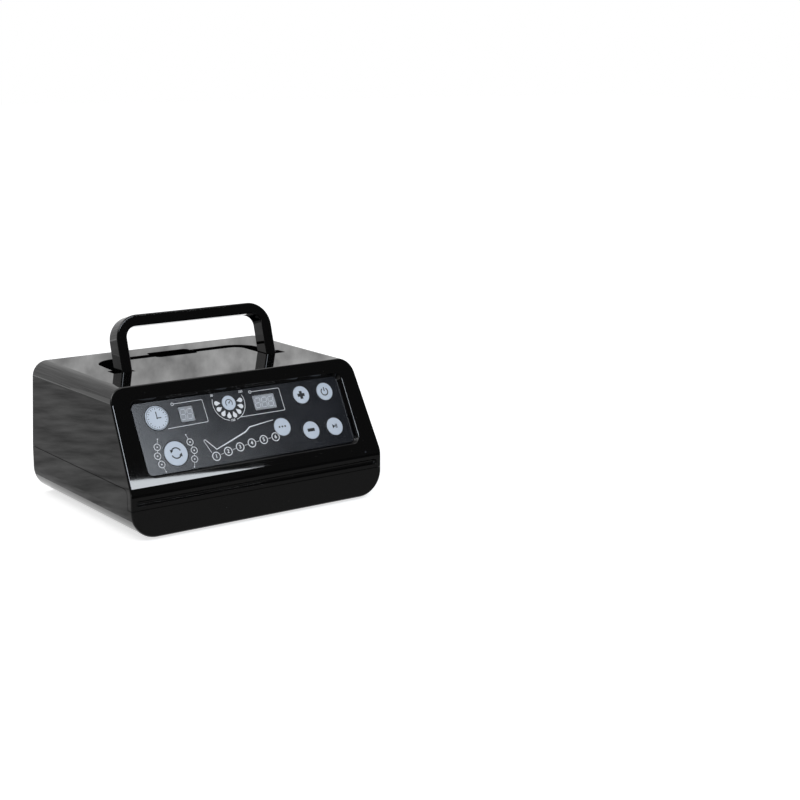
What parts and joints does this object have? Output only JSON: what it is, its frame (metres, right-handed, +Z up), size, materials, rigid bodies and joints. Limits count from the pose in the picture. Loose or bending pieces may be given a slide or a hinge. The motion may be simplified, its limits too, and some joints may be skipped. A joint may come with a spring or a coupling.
{
  "type": "compression therapy pump",
  "caption": "Glossy console with a sloping panel of round keys, lamps and two displays, and a bail handle that folds into its top; it pumps air to compression garments.",
  "frame": {"origin": "under the middle of the case, on the surface the feet stand on", "axes": "+X along the front towards the end with the power key, +Y from the panel towards the back, +Z up"},
  "size_m": [0.363, 0.2816, 0.2444],
  "materials": {
    "housing": "high gloss",
    "handle": "high gloss",
    "panel_film": "smooth film",
    "keys": "smooth",
    "lamp_lenses": "smooth, translucent",
    "windows": "clear, lightly smoked",
    "display": "matt",
    "circuit_board": "satin",
    "components": "matt",
    "lamp_chips": "matt",
    "steel": "plain",
    "rear_sheet": "fine texture",
    "inlet_body": "matt",
    "pump_casting": "as cast",
    "magnet": "plain",
    "coil_wrap": "taped",
    "air_plastic": "moulded",
    "hose": "smooth",
    "rubber": "matt"
  },
  "bodies": {
    "case": {"upper_housing": "housing", "lower_housing": "housing", "handle_spacers": "handle", "panel_overlay": "panel_film", "mode_lamps": "lamp_lenses", "chamber_lamps": "lamp_lenses", "pressure_lamps": "lamp_lenses", "status_lamp": "lamp_lenses", "time_window": "windows", "pressure_window": "windows", "time_display": "display", "pressure_display": "display", "control_board": "circuit_board", "mains_board": "circuit_board", "board_chips": "components", "key_switches": "components", "mains_capacitors": "components", "fan_frame": "components", "board_lamps": "lamp_chips", "handle_pins": "steel", "board_screws": "steel", "case_screws": "steel", "foot_screws": "steel", "fan_screws": "steel", "rear_panel_screws": "steel", "pump_frame": "steel", "pump_screws": "steel", "valve_bracket": "steel", "mains_board_screws": "steel", "inlet_blades": "steel", "rear_panel": "rear_sheet", "hose_sockets": "rear_sheet", "mains_inlet": "inlet_body", "pump_heads": "pump_casting", "pump_cores": "magnet", "mains_transformer": "magnet", "pump_coils": "coil_wrap", "pump_air_chamber": "air_plastic", "valve_manifold": "air_plastic", "solenoid_valves": "air_plastic", "pump_hose": "hose", "outlet_hoses": "hose", "feet": "rubber", "pump_mounts": "rubber"},
    "handle": {"handle": "handle"},
    "time_key": {"time_key": "keys"},
    "mode_key": {"mode_key": "keys"},
    "pressure_key": {"pressure_key": "keys"},
    "option_key": {"option_key": "keys"},
    "plus_key": {"plus_key": "keys"},
    "minus_key": {"minus_key": "keys"},
    "power_key": {"power_key": "keys"},
    "start_key": {"start_key": "keys"},
    "rocker": {"rocker_switch": "inlet_body"},
    "fuse": {"fuse_drawer": "inlet_body"},
    "armature": {"pump_armature": "pump_casting", "pump_magnets": "magnet"},
    "fan": {"fan_rotor": "components"}
  },
  "joints": [
    {"name": "handle_swing", "type": "hinge", "parent": "case", "child": "handle", "pos_m": [0, 0.01365, 0.1671], "axis": [-1, 0, 0], "range_deg": [-15.9, 74.1]},
    {"name": "time_key_press", "type": "slide", "parent": "case", "child": "time_key", "axis": [0, 0.8754, -0.4834], "range_m": [0, 0.001], "stiffness_N_per_m": 1500, "springref_m": -0.0005},
    {"name": "mode_key_press", "type": "slide", "parent": "case", "child": "mode_key", "axis": [0, 0.8754, -0.4834], "range_m": [0, 0.001], "stiffness_N_per_m": 1500, "springref_m": -0.0005},
    {"name": "pressure_key_press", "type": "slide", "parent": "case", "child": "pressure_key", "axis": [0, 0.8754, -0.4834], "range_m": [0, 0.001], "stiffness_N_per_m": 1500, "springref_m": -0.0005},
    {"name": "option_key_press", "type": "slide", "parent": "case", "child": "option_key", "axis": [0, 0.8754, -0.4834], "range_m": [0, 0.001], "stiffness_N_per_m": 1500, "springref_m": -0.0005},
    {"name": "plus_key_press", "type": "slide", "parent": "case", "child": "plus_key", "axis": [0, 0.8754, -0.4834], "range_m": [0, 0.001], "stiffness_N_per_m": 1500, "springref_m": -0.0005},
    {"name": "minus_key_press", "type": "slide", "parent": "case", "child": "minus_key", "axis": [0, 0.8754, -0.4834], "range_m": [0, 0.001], "stiffness_N_per_m": 1500, "springref_m": -0.0005},
    {"name": "power_key_press", "type": "slide", "parent": "case", "child": "power_key", "axis": [0, 0.8754, -0.4834], "range_m": [0, 0.001], "stiffness_N_per_m": 1500, "springref_m": -0.0005},
    {"name": "start_key_press", "type": "slide", "parent": "case", "child": "start_key", "axis": [0, 0.8754, -0.4834], "range_m": [0, 0.001], "stiffness_N_per_m": 1500, "springref_m": -0.0005},
    {"name": "rocker_tilt", "type": "hinge", "parent": "case", "child": "rocker", "pos_m": [-0.114, 0.13425, 0.093], "axis": [1, 0, 0], "range_deg": [0, 16]},
    {"name": "fuse_slide", "type": "slide", "parent": "case", "child": "fuse", "axis": [0, 1, 0], "range_m": [0, 0.022]},
    {"name": "armature_shake", "type": "slide", "parent": "case", "child": "armature", "axis": [0, 1, 0], "range_m": [-0.0008, 0.0008], "stiffness_N_per_m": 9000},
    {"name": "fan_spin", "type": "hinge", "parent": "case", "child": "fan", "pos_m": [-0.057, 0.12775, 0.0755], "axis": [0, 1, 0], "continuous": true}
  ]
}
